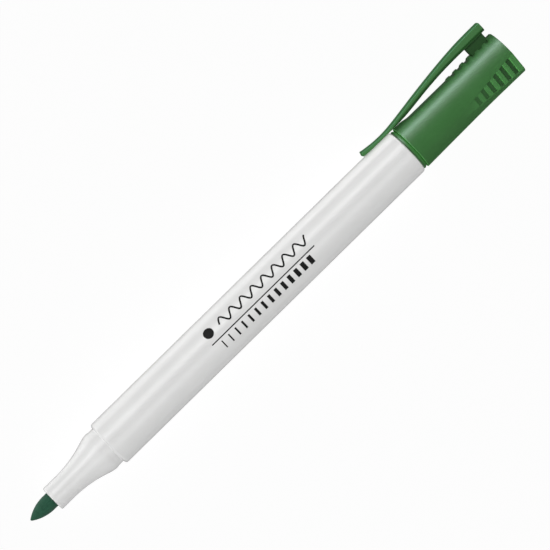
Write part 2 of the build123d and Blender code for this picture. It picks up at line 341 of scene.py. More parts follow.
def make_object(name, vertices, faces, material):
    """Mesh object from millimetre vertices, smooth shaded, with its hard edges kept."""
    mesh = bpy.data.meshes.new(name)
    scaled = [(x * MM, y * MM, z * MM) for x, y, z in vertices]
    mesh.from_pydata(scaled, [], faces)
    mesh.validate()
    mesh.shade_smooth()
    mesh.set_sharp_from_angle(angle=HARD_ANGLE)
    mesh.materials.append(material)
    piece = bpy.data.objects.new(name, mesh)
    bpy.context.scene.collection.objects.link(piece)
    weighted = piece.modifiers.new("even_normals", "WEIGHTED_NORMAL")
    weighted.keep_sharp = True
    return piece


def add_painted_light(piece, values):
    """Store painted light, vertex by vertex: above 0 a painted highlight, lighter than the plain
    colour; below 0 painted shade, darker.
    """
    layer = piece.data.attributes.new("shade", "FLOAT", "POINT")
    layer.data.foreach_set("value", np.array(values, dtype=np.float32))


def add_turned_painted_light(piece, outline, shades):
    """Store one painted light value for each point of the outline that a piece was turned from."""
    values = []
    for (_, r), shade in zip(outline, shades):
        values += [shade] * (ROUND_SEGMENTS if r else 1)
    add_painted_light(piece, values)


def skin_rings(rings, closed_ends=True):
    """Vertices and faces of a skin over rings of equal length; a ring of one point is a pole."""
    vertices, faces, starts = [], [], []
    for ring in rings:
        starts.append(len(vertices))
        vertices.extend(ring)
    for i in range(len(rings) - 1):
        a, b = starts[i], starts[i + 1]
        size_a, size_b = len(rings[i]), len(rings[i + 1])
        count = max(size_a, size_b)
        for k in range(count):
            n = (k + 1) % count
            if size_a == 1:
                faces.append((a, b + k, b + n))
            elif size_b == 1:
                faces.append((a + k, b, a + n))
            else:
                faces.append((a + k, b + k, b + n, a + n))
    if closed_ends:
        if len(rings[0]) > 1:
            faces.append(tuple(range(starts[0] + len(rings[0]) - 1, starts[0] - 1, -1)))
        if len(rings[-1]) > 1:
            faces.append(tuple(range(starts[-1], starts[-1] + len(rings[-1]))))
    return vertices, faces


def turned(name, outline, material, segments=ROUND_SEGMENTS):
    """Closed body of revolution about the pen axis.

    The outline runs from the axis to the axis, or closes on itself round a hollow body, with
    the material on its right-hand side.
    """
    rings = []
    for x, r in outline:
        if r == 0:
            rings.append([(x, 0.0, 0.0)])
            continue
        angles = [2 * math.pi * k / segments for k in range(segments)]
        rings.append([(x, r * math.cos(a), r * math.sin(a)) for a in angles])
    hollow = len(rings[0]) > 1
    if hollow:
        rings.append(rings[0])
    vertices, faces = skin_rings(rings, closed_ends=False)
    if hollow:
        first = len(vertices) - segments
        faces = [tuple(v - first if v >= first else v for v in face) for face in faces]
        vertices = vertices[:first]
    return make_object(name, vertices, faces, material)


# ---------------------------------------------------------------- materials

# Noise scales are cells per metre and bump distances are metres.
CLOUD_SCALE = 160.0
GRAIN_SCALE = 1400.0
SMEAR_SCALE = 420.0
SMEAR_STRETCH = 0.35
BLOTCH_SCALE = 700.0
CREASE_SCALES = (60.0, 900.0, 900.0)
GRAIN_DEPTH = 0.00001
FLOW_DEPTH = 0.00004
FIBRE_DEPTH = 0.00005
CREASE_DEPTH = 0.00008
# How much lighter worn edges are than the plain colour, and how far a painted highlight lightens it
# and painted shade darkens it.
WORN_FACTOR = 1.35
WORN_SHARE = 0.25
PAINTED_HIGHLIGHT_FACTOR = 2.6
PAINTED_SHADE_FACTOR = 0.42
# The middle part of a noise's range, where nearly all of its values lie.
NOISE_SPAN = (0.3, 0.7)


class Shader:
    """A node material that is built up from its Principled surface."""

    def __init__(self, name):
        self.material = bpy.data.materials.new(name)
        self.material.use_nodes = True
        self.tree = self.material.node_tree
        self.surface = self.tree.nodes["Principled BSDF"]
        self.coordinates = self.tree.nodes.new("ShaderNodeTexCoord").outputs["Object"]

    def node(self, kind, **inputs):
        """New node; an input is named i0, i1 and so on, or by its name with _ for each space."""
        made = self.tree.nodes.new("ShaderNode" + kind)
        for key, value in inputs.items():
            self.set(made, key, value)
        return made

    def set(self, node, key, value):
        """Give a node's input a value, or link it to another node's output."""
        numbered = key[0] == "i" and key[1:].isdigit()
        socket = node.inputs[int(key[1:]) if numbered else key.replace("_", " ")]
        if isinstance(value, bpy.types.NodeSocket):
            self.tree.links.new(value, socket)
        else:
            socket.default_value = value

    def stretched(self, x, y, z):
        """Object coordinates multiplied by three factors."""
        mapping = self.node("Mapping", Vector=self.coordinates)
        mapping.inputs["Scale"].default_value = (x, y, z)
        return mapping.outputs["Vector"]

    def noise(self, vector, scale, detail, roughness=0.5):
        made = self.node("TexNoise", Vector=vector, Scale=scale, Detail=detail, Roughness=roughness)
        return made.outputs["Fac"]

    def ramp(self, value, low, high, to_low, to_high):
        """Map the range low to high onto to_low to to_high, cut off at both ends."""
        made = self.node("MapRange", Value=value)
        ends = {"From Min": low, "From Max": high, "To Min": to_low, "To Max": to_high}
        for key, number in ends.items():
            made.inputs[key].default_value = number
        return made.outputs["Result"]

    def share(self, noise):
        """A noise stretched to run from 0 to 1."""
        return self.ramp(noise, *NOISE_SPAN, 0.0, 1.0)

    def mix(self, share, first, second):
        """Mix two colours; share is a number or a socket."""
        made = self.tree.nodes.new("ShaderNodeMix")
        made.data_type = "RGBA"
        self.set(made, "i0", share)
        self.set(made, "i6", first)
        self.set(made, "i7", second)
        return made.outputs[2]

    def bump(self, height, distance, strength, normal=None):
        made = self.node("Bump", Height=height, Distance=distance, Strength=strength)
        if normal is not None:
            self.set(made, "Normal", normal)
        return made.outputs["Normal"]

    def finish(self, **inputs):
        """Connect the surface's inputs and hand over the material."""
        for key, value in inputs.items():
            self.set(self.surface, key, value)
        return self.material


def moulded_plastic(name, colour, shade, roughness, grain, gloss=0.5, painted_light=False):
    """Injection-moulded plastic: cloudy colour, handling marks in the gloss, fine skin texture, and,
    where asked, painted highlights and shade from each vertex's stored value.
    """
    s = Shader(name)
    clouds = s.noise(s.coordinates, CLOUD_SCALE, detail=2.0)
    fine = s.noise(s.coordinates, GRAIN_SCALE, detail=4.0)
    tone = s.mix(s.share(clouds), (*colour, 1), (*shade, 1))
    worn = s.node("NewGeometry").outputs["Pointiness"]
    edge = s.ramp(worn, 0.52, 0.62, 0.0, WORN_SHARE)
    lighter = tuple(min(1.0, c * WORN_FACTOR + 0.01) for c in colour)
    tone = s.mix(edge, tone, (*lighter, 1))
    if painted_light:
        # Painted light: above 0 the colour turns lighter as a painted highlight, below 0 darker as
        # painted shade.
        ribs = s.node("Attribute")
        ribs.attribute_name = "shade"
        bright = tuple(min(1.0, c * PAINTED_HIGHLIGHT_FACTOR) for c in colour)
        tone = s.mix(s.ramp(ribs.outputs["Fac"], 0.0, 1.0, 0.0, 1.0), tone, (*bright, 1))
        dark = tuple(c * PAINTED_SHADE_FACTOR for c in colour)
        tone = s.mix(s.ramp(ribs.outputs["Fac"], 0.0, -1.0, 0.0, 1.0), tone, (*dark, 1))
    smears = s.noise(s.stretched(SMEAR_STRETCH, 1.0, 1.0), SMEAR_SCALE, detail=3.0)
    gloss_map = s.ramp(smears, 0.35, 0.7, roughness - 0.02, roughness + 0.025)
    skin = s.bump(fine, GRAIN_DEPTH, grain)
    flow = s.bump(clouds, FLOW_DEPTH, 0.05, normal=skin)
    return s.finish(
        Base_Color=tone,
        Roughness=gloss_map,
        Normal=flow,
        Specular_IOR_Level=gloss,
    )


def felt(name, colour, shade, across, along):
    """Bundle of ink-soaked fibres that run along the pen axis."""
    s = Shader(name)
    strands = s.noise(s.stretched(along, across, across), 1.0, detail=4.0, roughness=0.6)
    blotches = s.noise(s.coordinates, BLOTCH_SCALE, detail=2.0)
    tone = s.mix(s.share(strands), (*colour, 1), (*shade, 1))
    darker = tuple(c * 0.7 for c in shade)
    tone = s.mix(s.ramp(blotches, 0.45, 0.75, 0.0, 0.5), tone, (*darker, 1))
    fibres = s.bump(strands, FIBRE_DEPTH, 0.5)
    return s.finish(
        Base_Color=tone,
        Roughness=s.ramp(strands, *NOISE_SPAN, 0.62, 0.85),
        Normal=fibres,
        Sheen_Weight=0.05,
        Specular_IOR_Level=0.2,
    )


WHITE = moulded_plastic(
    "white_plastic",
    (0.70, 0.70, 0.695),
    (0.68, 0.68, 0.675),
    roughness=0.2,
    grain=0.12,
    painted_light=True,
)
GREEN = moulded_plastic(
    "green_plastic",
    (0.027, 0.114, 0.025),
    (0.030, 0.121, 0.028),
    roughness=0.38,
    grain=0.25,
    painted_light=True,
)
LINER = moulded_plastic(
    "natural_plastic",
    (0.62, 0.61, 0.57),
    (0.58, 0.57, 0.53),
    roughness=0.45,
    grain=0.3,
)
NIB_FELT = felt(
    "nib_fibre",
    (0.0175, 0.088, 0.049),
    (0.013, 0.065, 0.036),
    across=5200.0,
    along=420.0,
)
CORE_FELT = felt(
    "reservoir_fibre",
    (0.05, 0.20, 0.10),
    (0.03, 0.13, 0.06),
    across=3600.0,
    along=200.0,
)
INK = moulded_plastic(
    "black_print",
    (0.004, 0.004, 0.004),
    (0.007, 0.007, 0.007),
    roughness=0.5,
    grain=0.2,
    gloss=0.15,
)


def film_material():
    """Thin clear film with long creases."""
    s = Shader("reservoir_film")
    creases = s.noise(s.stretched(*CREASE_SCALES), 1.0, detail=3.0)
    return s.finish(
        Base_Color=s.mix(s.share(creases), (0.8, 0.86, 0.82, 1), (0.7, 0.8, 0.74, 1)),
        Roughness=s.ramp(creases, *NOISE_SPAN, 0.12, 0.3),
        Normal=s.bump(creases, CREASE_DEPTH, 0.6),
        Alpha=0.45,
    )


FILM = film_material()


# ---------------------------------------------------------------- pieces


def barrel():
    nose = cubic(NOSE_SIDE, NOSE_START_SLOPE, 0.0)
    bead_back = cubic([(BEAD_X, BEAD_R), (NECK_FRONT_X, NECK_R)], 0.0, 0.0)
    corner_x = NOZZLE_FACE_X + NOZZLE_EDGE_R
    corner_r = NOZZLE_R - NOZZLE_EDGE_R
    outline = [(NOZZLE_FACE_X, NIB_BORE_R + NOZZLE_MOUTH_CHAMFER)]
    outline += arc((corner_x, corner_r), NOZZLE_EDGE_R, 180, 90)
    outline += [(x, float(nose(x))) for x in np.linspace(NOZZLE_BACK_X, BEAD_X, 40)]
    outline += [(x, float(bead_back(x))) for x in np.linspace(BEAD_X, NECK_FRONT_X, 10)[1:]]
    outline.append((NECK_BACK_X, NECK_R))
    outline += arc((-NECK_FILLET_R, NECK_R + NECK_FILLET_R), NECK_FILLET_R, 270, 360, 4)
    outline += arc((SHOULDER_EDGE_R, BARREL_R - SHOULDER_EDGE_R), SHOULDER_EDGE_R, 180, 90, 8)
    outline += arc((BARREL_END_X - BARREL_EDGE_R, BARREL_R - BARREL_EDGE_R), BARREL_EDGE_R, 90, 0, 8)
    outline += [
        (BARREL_END_X, BORE_R + BORE_CHAMFER),
        (BARREL_END_X - BORE_CHAMFER, BORE_R),
        (BORE_START_X, BORE_R),
        (BORE_START_X - BORE_TAPER, SEAT_R),
        (SEAT_X, SEAT_R),
        (SEAT_X, SEAT_R - SEAT_LIP),
        (NOSE_CAVITY_X, NIB_BORE_R),
        (NOZZLE_FACE_X + NOZZLE_MOUTH_CHAMFER, NIB_BORE_R),
    ]
    piece = turned("barrel_tube", outline, WHITE)
    # Painted highlight: a lighter line at the foot of the shoulder, where light glints on its edge.
    highlight_from_x, highlight_to_x = SHOULDER_PAINTED_HIGHLIGHT_SPAN
    highlighted = [r >= NECK_R and highlight_from_x < x < highlight_to_x for x, r in outline]
    add_turned_painted_light(piece, outline, [SHOULDER_PAINTED_HIGHLIGHT * here for here in highlighted])
    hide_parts("barrel")
    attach(piece, "barrel_body")


def strokes_on_barrel(strokes):
    """Thin closed ribbons wrapped on the barrel.

    A stroke is a path of (x, arc length from the top towards the clip) points and its width, one
    number or one for each point.
    """
    vertices, faces = [], []
    for path, width in strokes:
        points = np.array(path, float)
        ahead = np.gradient(points, axis=0)
        ahead /= np.linalg.norm(ahead, axis=1)[:, None]
        side = np.stack([-ahead[:, 1], ahead[:, 0]], axis=1) * np.reshape(width, (-1, 1)) / 2
        rings = []
        for left, right in zip(points + side, points - side):
            corners = [(left, PRINT_TOP_R), (right, PRINT_TOP_R)]
            corners += [(right, PRINT_BASE_R), (left, PRINT_BASE_R)]
            ring = []
            for (x, arc_length), radius in corners:
                turn = arc_length / BARREL_R
                ring.append((x, radius * math.sin(turn), radius * math.cos(turn)))
            rings.append(ring)
        start = len(vertices)
        stroke_vertices, stroke_faces = skin_rings(rings)
        vertices += stroke_vertices
        faces += [tuple(v + start for v in face) for face in stroke_faces]
    return vertices, faces


def barrel_print():
    """Generic print: a dot with a drawn line, a rule, and a gauge of growing line widths."""
    rule = [(x, PRINT_RULE_V) for x in np.linspace(PRINT_START_X, PRINT_END_X, 24)]
    strokes = [(rule, PRINT_RULE_WIDTH)]
    dot_x = PRINT_START_X + PRINT_DOT_R
    turns = np.linspace(-PRINT_DOT_TURN, PRINT_DOT_TURN, 25)
    across = [(dot_x, PRINT_WAVE_V + PRINT_DOT_R * math.sin(turn)) for turn in turns]
    strokes.append((across, 2 * PRINT_DOT_R * np.cos(turns)))
    wave = []
    for x in np.linspace(dot_x + PRINT_WAVE_GAP, PRINT_END_X, 220):
        swing = math.sin(2 * math.pi * (x - dot_x) / PRINT_WAVE_LENGTH)
        wave.append((x, PRINT_WAVE_V + PRINT_WAVE_HEIGHT * swing))
    strokes.append((wave, PRINT_WAVE_WIDTH))
    for index in range(PRINT_BAR_COUNT):
        share = index / (PRINT_BAR_COUNT - 1)
        x = PRINT_BARS_START_X + (PRINT_BARS_END_X - PRINT_BARS_START_X) * share
        bar = [(x, v) for v in np.linspace(PRINT_BARS_TOP_V, PRINT_BARS_BOTTOM_V, 8)]
        growth = PRINT_BAR_LAST_WIDTH - PRINT_BAR_FIRST_WIDTH
        strokes.append((bar, PRINT_BAR_FIRST_WIDTH + growth * share))
    piece = make_object("barrel_print", *strokes_on_barrel(strokes), INK)
    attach(piece, "barrel_body")


def nib():
    """Fibre rod with a bullet point; its side leaves the rod smoothly and ends on the tip's ball."""
    shoulder_x = NIB_TIP_X + NIB_POINT_LENGTH
    front_x, front_r = (share * NIB_TIP_R for share in NIB_TIP_FRONT)
    back_x, back_r = (share * NIB_TIP_R for share in NIB_TIP_BACK)
    reach = NIB_POINT_LENGTH - back_x
    drop = NIB_R - back_r
    side_r = (reach**2 + drop**2) / (2 * drop)
    outline = [(NIB_TIP_X, 0.0), (NIB_TIP_X + front_x, front_r)]
    for x in np.linspace(shoulder_x - reach, shoulder_x, 28):
        outline.append((x, NIB_R - side_r + math.sqrt(side_r**2 - (shoulder_x - x) ** 2)))
    outline += [(NIB_TAIL_X - NIB_TAIL_CONE, NIB_R), (NIB_TAIL_X, NIB_TAIL_R), (NIB_TAIL_X, 0.0)]
    piece = turned("nib_rod", outline, NIB_FELT, segments=NIB_SEGMENTS)
    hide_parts("nib")
    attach(piece, "barrel_body")


def rear_plug():
    """Plug with a collar behind a hairline gap, a step in the cap's mouth and a hollow spigot."""
    lead_x, lead_r = PLUG_LEAD_IN
    collar_front_x = BARREL_END_X + PLUG_GAP
    collar_back_x = BARREL_END_X + COLLAR_WIDTH
    cone_back_x = collar_back_x + COLLAR_CONE_LENGTH
    step_back_x = cone_back_x + STEP_LENGTH
    edge_y = COLLAR_R - COLLAR_EDGE_R
    inner_r = PLUG_R - PLUG_WALL
    outline = [
        (PLUG_LOW.x, inner_r),
        (PLUG_LOW.x, PLUG_R - lead_r),
        (PLUG_LOW.x + lead_x, PLUG_R),
        (BARREL_END_X, PLUG_R),
    ]
    outline += arc((collar_front_x + COLLAR_EDGE_R, edge_y), COLLAR_EDGE_R, 180, 90, 4)
    shaded_count = len(outline)
    outline.append((collar_front_x + COLLAR_EDGE_R + 0.04, COLLAR_R))
    outline += arc((collar_back_x - COLLAR_EDGE_R, edge_y), COLLAR_EDGE_R, 90, 55, 4)
    plain_count = len(outline) - shaded_count
    highlight_points = [
        (collar_back_x + 0.04, COLLAR_R - 0.06),
        (cone_back_x, STEP_R + 0.03),
        (cone_back_x + 0.1, STEP_R),
    ]
    outline += highlight_points
    outline += [(step_back_x, STEP_R), (step_back_x + STEP_TAPER, SPIGOT_R)]
    outline += [(SPIGOT_END_X - x, SPIGOT_R - r) for x, r in SPIGOT_NOSE]
    outline.append((SPIGOT_END_X, 0.0))
    cavity = [(SPIGOT_END_X - PLUG_WALL, 0.0), (SPIGOT_END_X - PLUG_WALL, inner_r)]
    piece = turned_cup("rear_plug_body", outline, cavity, GREEN)
    # Painted shade on the collar's front in the hairline gap, and a painted highlight on the step
    # behind the collar.
    shades = [-1.0] * shaded_count + [0.0] * plain_count + [STEP_PAINTED_HIGHLIGHT] * len(highlight_points)
    shades += [0.0] * (len(outline) + len(cavity) - len(shades))
    add_turned_painted_light(piece, outline + cavity, shades)
    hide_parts("rear_plug")
    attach(piece, "barrel_body")


def skin_cup(outside, inside):
    """Skin of a cup from its rings: outside from the mouth to the axis, inside back to the mouth."""
    vertices, faces = skin_rings(outside, closed_ends=False)
    inner_vertices, inner_faces = skin_rings(inside + [outside[0]], closed_ends=False)
    offset = len(vertices)
    shared = len(inner_vertices) - len(outside[0])
    for face in inner_faces:
        faces.append(tuple(v - shared if v >= shared else v + offset for v in face))
    return vertices + inner_vertices[:shared], faces


def turned_cup(name, outside, inside, material):
    """Closed cup of revolution from its outside and inside outlines, which meet the axis."""
    angles = [2 * math.pi * k / ROUND_SEGMENTS for k in range(ROUND_SEGMENTS)]

    def ring(x, r):
        if r == 0:
            return [(x, 0.0, 0.0)]
        return [(x, r * math.cos(a), r * math.sin(a)) for a in angles]

    outer_rings = [ring(*point) for point in outside]
    inner_rings = [ring(*point) for point in inside]
    vertices, faces = skin_cup(outer_rings, inner_rings)
    return make_object(name, vertices, faces, material)


cap_side = cubic(
    [
        (RIM_X, CAP_RIM_R),
        ((RIM_X + CAP_WAIST_X) / 2, CAP_MIDWAY_R),
        (CAP_WAIST_X, CAP_WAIST_R),
        (CAP_END_X, CAP_END_R),
    ]
)


def slot_spans(first_x, width):
    """Front and back of each slot between the ribs of a group."""
    fronts = [first_x + index * RIB_PITCH for index in range(SLOT_COUNT)]
    return [(front_x, front_x + width) for front_x in fronts]


SIDE_SLOTS = slot_spans(SIDE_SLOT_FRONT_X, SIDE_SLOT_WIDTH)
CLIP_SLOTS = slot_spans(CLIP_RIB_FRONT_X + CLIP_RIB_WIDTH, RIB_PITCH - CLIP_RIB_WIDTH)


def in_slot(x, span, back_wall):
    """1 on a slot's floor, 0 on the ribs beside it, with sloping walls between."""
    front_x, back_x = span
    entered = smooth_step(x, front_x - SLOT_WALL / 2, front_x + SLOT_WALL / 2)
    left = smooth_step(x, back_x - back_wall / 2, back_x + back_wall / 2)
    return float(entered * (1 - left))


def rib_edge(x, back_x):
    """1 on the rib's edge behind a slot, 0 elsewhere."""
    risen = smooth_step(x, back_x - 0.05, back_x + 0.1)
    return float(risen * (1 - smooth_step(x, back_x + 0.15, back_x + 0.4)))


def facet_y(x):
    """Distance of a side flat from the pen axis."""
    share = (x - FACET_START_X) / (CAP_END_X - FACET_START_X)
    return FACET_START_Y + (FACET_END_Y - FACET_START_Y) * share


def cap_surface(x, angle):
    """Radius and painted light of the cap's outside at one x, for an array of angles from the clip.

    The painted light is above 0 on the grip ribs and their edges, a painted highlight; below 0 in
    the slots and under the clip, painted shade; and 0 elsewhere.
    """
    base = float(cap_side(x))
    radius = np.full_like(angle, base)
    shade = np.zeros_like(angle)
    # Tapering flats on the two sides, with pockets sunk in them.
    half_width = math.sqrt(max(0.0, base**2 - facet_y(x) ** 2))
    pocket_edge = (half_width - FACET_MARGIN - POCKET_WALL, half_width - FACET_MARGIN + POCKET_WALL)
    for centre in (-SIDE_GROUP_ANGLE, SIDE_GROUP_ANGLE):
        away = np.arctan2(np.sin(angle - centre), np.cos(angle - centre))
        facing = np.maximum(np.cos(away), 0.2)
        across = np.abs(np.tan(away)) * facet_y(x)
        near_side = np.cos(away) > 0
        inside = (1 - smooth_step(across, *pocket_edge)) * near_side
        flat = soft_min(radius, facet_y(x) / facing, CORNER_ROUNDING)
        on_flat = (1 - smooth_step(across, half_width - 0.25, half_width + 0.05)) * near_side
        on_flat = on_flat * float(smooth_step(x, FACET_START_X, SIDE_SLOTS[FULL_SLOT][0]))
        # Painted highlight on the flat where the ribs stand.
        shade = shade + RIB_PAINTED_HIGHLIGHT * on_flat
        for index, span in enumerate(SIDE_SLOTS):
            share = index / (SLOT_COUNT - 1)
            depth = SLOT_DEPTH_FIRST + (SLOT_DEPTH_LAST - SLOT_DEPTH_FIRST) * share
            sunk = in_slot(x, span, SLOT_BACK_WALL) * inside
            flat = flat - depth * sunk / facing
            # Painted shade in each slot, growing towards the closed end, and a painted highlight on
            # the rib edge behind it.
            slot_painted_shade = SIDE_SLOT_PAINTED_SHADES[0] + (SIDE_SLOT_PAINTED_SHADES[1] - SIDE_SLOT_PAINTED_SHADES[0]) * share
            shade = shade + sunk * (slot_painted_shade - RIB_PAINTED_HIGHLIGHT * on_flat)
            shade = shade + RIB_EDGE_PAINTED_HIGHLIGHT * share * rib_edge(x, span[1]) * inside
        radius = flat
    # Runway under the clip arm, then slots between full-height ribs.
    away = np.arctan2(np.sin(angle), np.cos(angle))
    facing = np.maximum(np.cos(away), 0.2)
    lowered = smooth_step(x, RUNWAY_FADE_FROM_X, RUNWAY_FADE_TO_X)
    lowered *= 1 - smooth_step(x, CLIP_RIB_FRONT_X - CLIMB / 2, CLIP_RIB_FRONT_X + CLIMB / 2)
    in_clip_slot = max(in_slot(x, span, CLIMB) for span in CLIP_SLOTS)
    lowered = max(float(lowered), in_clip_slot)
    climbed = smooth_step(x, CLIP_RIB_FRONT_X, CLIP_SLOTS[FULL_SLOT][0]) * CLIP_RIB_RISE
    on_rib = np.exp(-((np.sin(away) * base / CLIP_RIB_BREADTH) ** 4)) * (np.cos(away) > 0)
    radius = radius + climbed * on_rib * (1 - lowered)
    clear_y = base + 0.05
    top_y = clear_y + (RUNWAY_Y - clear_y) * lowered
    # Painted shade in the clip-side slots.
    shade = shade + CLIP_SLOT_PAINTED_SHADE * in_clip_slot * (top_y / facing < radius)
    # Painted shadow: the clip keeps light off the strip of the cap below it, most of all near the
    # rim.
    near_rim = 1 - float(smooth_step(x, RUNWAY_FADE_FROM_X, RUNWAY_FADE_TO_X))
    below_clip = 1 - smooth_step(np.abs(away), *RUNWAY_PAINTED_SHADOW_ANGLES)
    shade = shade + (RUNWAY_PAINTED_SHADOW + RUNWAY_RIM_PAINTED_SHADOW * near_rim) * below_clip
    radius = soft_min(radius, (top_y + climbed * (1 - lowered)) / facing, CORNER_ROUNDING)
    return radius, shade


def cap_stations():
    """Places along the cap's side, close together at every slot wall."""
    stations = list(np.linspace(RIM_X + CAP_RIM_EDGE_R, RUNWAY_FADE_FROM_X, 4))
    stations += list(np.linspace(RUNWAY_FADE_FROM_X, RUNWAY_FADE_TO_X, 14)[1:])
    stations += list(np.linspace(RUNWAY_FADE_TO_X, FACET_START_X, 14)[1:])
    stations += list(np.linspace(FACET_START_X, CLIP_RIB_FRONT_X - CLIMB, 6)[1:])
    # Steps through a wall and a little past it, as shares of its length.
    steps = np.array((-1.4, -1.0, -0.66, -0.33, 0, 0.33, 0.66, 1.0, 1.4)) / 2
    stations += list(CLIP_RIB_FRONT_X + steps * CLIMB)
    for (side_front_x, side_back_x), (clip_front_x, clip_back_x) in zip(SIDE_SLOTS, CLIP_SLOTS):
        for wall in (side_front_x, side_back_x, clip_front_x):
            stations += list(wall + steps * SLOT_WALL)
        stations += list(clip_back_x + steps * CLIMB)
        stations += list(np.linspace(side_front_x, side_front_x + RIB_PITCH, 8))
    stations += list(np.linspace(SIDE_SLOTS[-1][1], CAP_END_X - CAP_END_EDGE_R, 6)[1:])
    last_x = CAP_END_X - CAP_END_EDGE_R
    return sorted(set(round(float(x), 3) for x in stations if x <= last_x))


def cap():
    """Tube with a closed end, ribs and a runway outside, and stepped bores inside."""
    angle = np.arange(CAP_SEGMENTS) * 2 * math.pi / CAP_SEGMENTS
    rings, shades = [], []

    def add_ring(x, radius, shade=None):
        rings.append([(x, r * math.cos(a), r * math.sin(a)) for r, a in zip(radius, angle)])
        shades.extend(np.zeros(CAP_SEGMENTS) if shade is None else shade)

    def add_pole(x):
        rings.append([(x, 0.0, 0.0)])
        shades.append(0.0)

    rim_radius, _ = cap_surface(RIM_X + CAP_RIM_EDGE_R, angle)
    # Painted highlight: the rounded rim is coloured lighter, standing in for the light it catches.
    rim_highlight = np.full(CAP_SEGMENTS, RIM_PAINTED_HIGHLIGHT)
    add_ring(RIM_X, np.full(CAP_SEGMENTS, MOUTH_R + MOUTH_CHAMFER), rim_highlight)
    for turn in np.radians((0, 20, 40, 60, 80)):
        x = RIM_X + CAP_RIM_EDGE_R * (1 - math.cos(turn))
        add_ring(x, rim_radius - CAP_RIM_EDGE_R * (1 - math.sin(turn)), rim_highlight)
    for x in cap_stations():
        radius, shade = cap_surface(x, angle)
        add_ring(x, radius, rim_highlight if x <= RIM_X + CAP_RIM_EDGE_R else shade)
    end_radius, end_shade = cap_surface(CAP_END_X - CAP_END_EDGE_R, angle)
    for turn in np.radians((20, 40, 60, 80, 90)):
        x = CAP_END_X - CAP_END_EDGE_R * (1 - math.sin(turn))
        add_ring(x, end_radius - CAP_END_EDGE_R * (1 - math.cos(turn)), end_shade)
    for share in (0.97, 0.7, 0.4, 0.15):
        add_ring(CAP_END_X, (end_radius - CAP_END_EDGE_R) * share)
    add_pole(CAP_END_X)
    outside_count = len(rings)
    inner_end_x = CAP_END_X - CAP_END_WALL
    bore_end_x = RIM_X + CAP_BORE_DEPTH
    mouth_end_x = RIM_X + MOUTH_DEPTH
    add_pole(inner_end_x)
    inside = [
        (inner_end_x, SEAL_POCKET_R),
        (bore_end_x, SEAL_POCKET_R),
        (bore_end_x, CAP_BORE_R),
        (mouth_end_x + MOUTH_TAPER, CAP_BORE_R),
        (mouth_end_x, MOUTH_R),
        (RIM_X + MOUTH_CHAMFER, MOUTH_R),
    ]
    for x, r in inside:
        add_ring(x, np.full(CAP_SEGMENTS, r))
    vertices, faces = skin_cup(rings[:outside_count], rings[outside_count:])
    piece = make_object("cap_tube", vertices, faces, GREEN)
    add_painted_light(piece, shades)
    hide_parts("cap_shell")
    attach(piece, "cap_body")


clip_outer = cubic(CLIP_OUTER, *CLIP_OUTER_SLOPES)
clip_under = cubic(CLIP_UNDER, *CLIP_UNDER_SLOPES)


def clip_half_width(x):
    """Half the arm's width, which tapers to the foot and rounds off its corners."""
    share = (x - CLIP_FOOT_X) / (BLOCK_FRONT_X - CLIP_FOOT_X)
    half = CLIP_FOOT_HALF_WIDTH + (CLIP_HALF_WIDTH - CLIP_FOOT_HALF_WIDTH) * share
    half = min(half, CLIP_HALF_WIDTH)
    left = CLIP_FOOT_CORNER_R - (x - CLIP_FOOT_X)
    if left > 0:
        half -= CLIP_FOOT_CORNER_R - math.sqrt(max(0.0, CLIP_FOOT_CORNER_R**2 - left**2))
    return half


def clip_section(x, inset=0.0):
    """The clip's cross-section, as a ring of (x, y, z) points, and the painted light of each point.
    """
    half = clip_half_width(x) - inset
    top = float(clip_outer(x)) - inset
    under = float(clip_under(x)) + inset
    away_from_foot = float(smooth_step(x, *CLIP_CHAMFER_SPAN))
    # One half of the ring, from the middle of the outer face to the middle of the under face.
    right = []
    for share in (0.0, 0.35, 0.7):
        right.append((top - CLIP_CROWN * share**2, share * (half - CLIP_EDGE_R)))
    for turn in np.radians((0, 22, 45, 68, 90)):
        y = top - CLIP_CROWN - CLIP_EDGE_R * (1 - math.cos(turn))
        right.append((y, half - CLIP_EDGE_R * (1 - math.sin(turn))))
    chamfer = CLIP_FOOT_CHAMFER + (CLIP_CHAMFER - CLIP_FOOT_CHAMFER) * away_from_foot
    right.append((under + chamfer * 1.5, half))
    plain_count = len(right)
    right += [
        (under + chamfer * 1.15, half),
        (under + chamfer, half - chamfer * 0.07),
        (under + chamfer * 0.07, half - chamfer),
        (under, half - chamfer * 1.15),
        (under, half * 0.4),
        (under, 0.0),
    ]
    # The end of the foot leans back a little from the barrel outwards.
    lean = 1 - float(smooth_step(x, CLIP_FOOT_X, CLIP_FOOT_X + CLIP_FOOT_LEAN_LENGTH))
    lean *= CLIP_FOOT_LEAN
    ring = [(x + lean * (y - under) / (top - under), y, z) for y, z in right]
    ring += [(x, y, -z) for x, y, z in reversed(ring[1:-1])]
    # Painted shade on the chamfer and the under face.
    under_painted_shade = CLIP_UNDER_PAINTED_SHADE * away_from_foot
    shades = [0.0] * plain_count + [under_painted_shade] * (len(right) - plain_count)
    return ring, shades + shades[-2:0:-1]


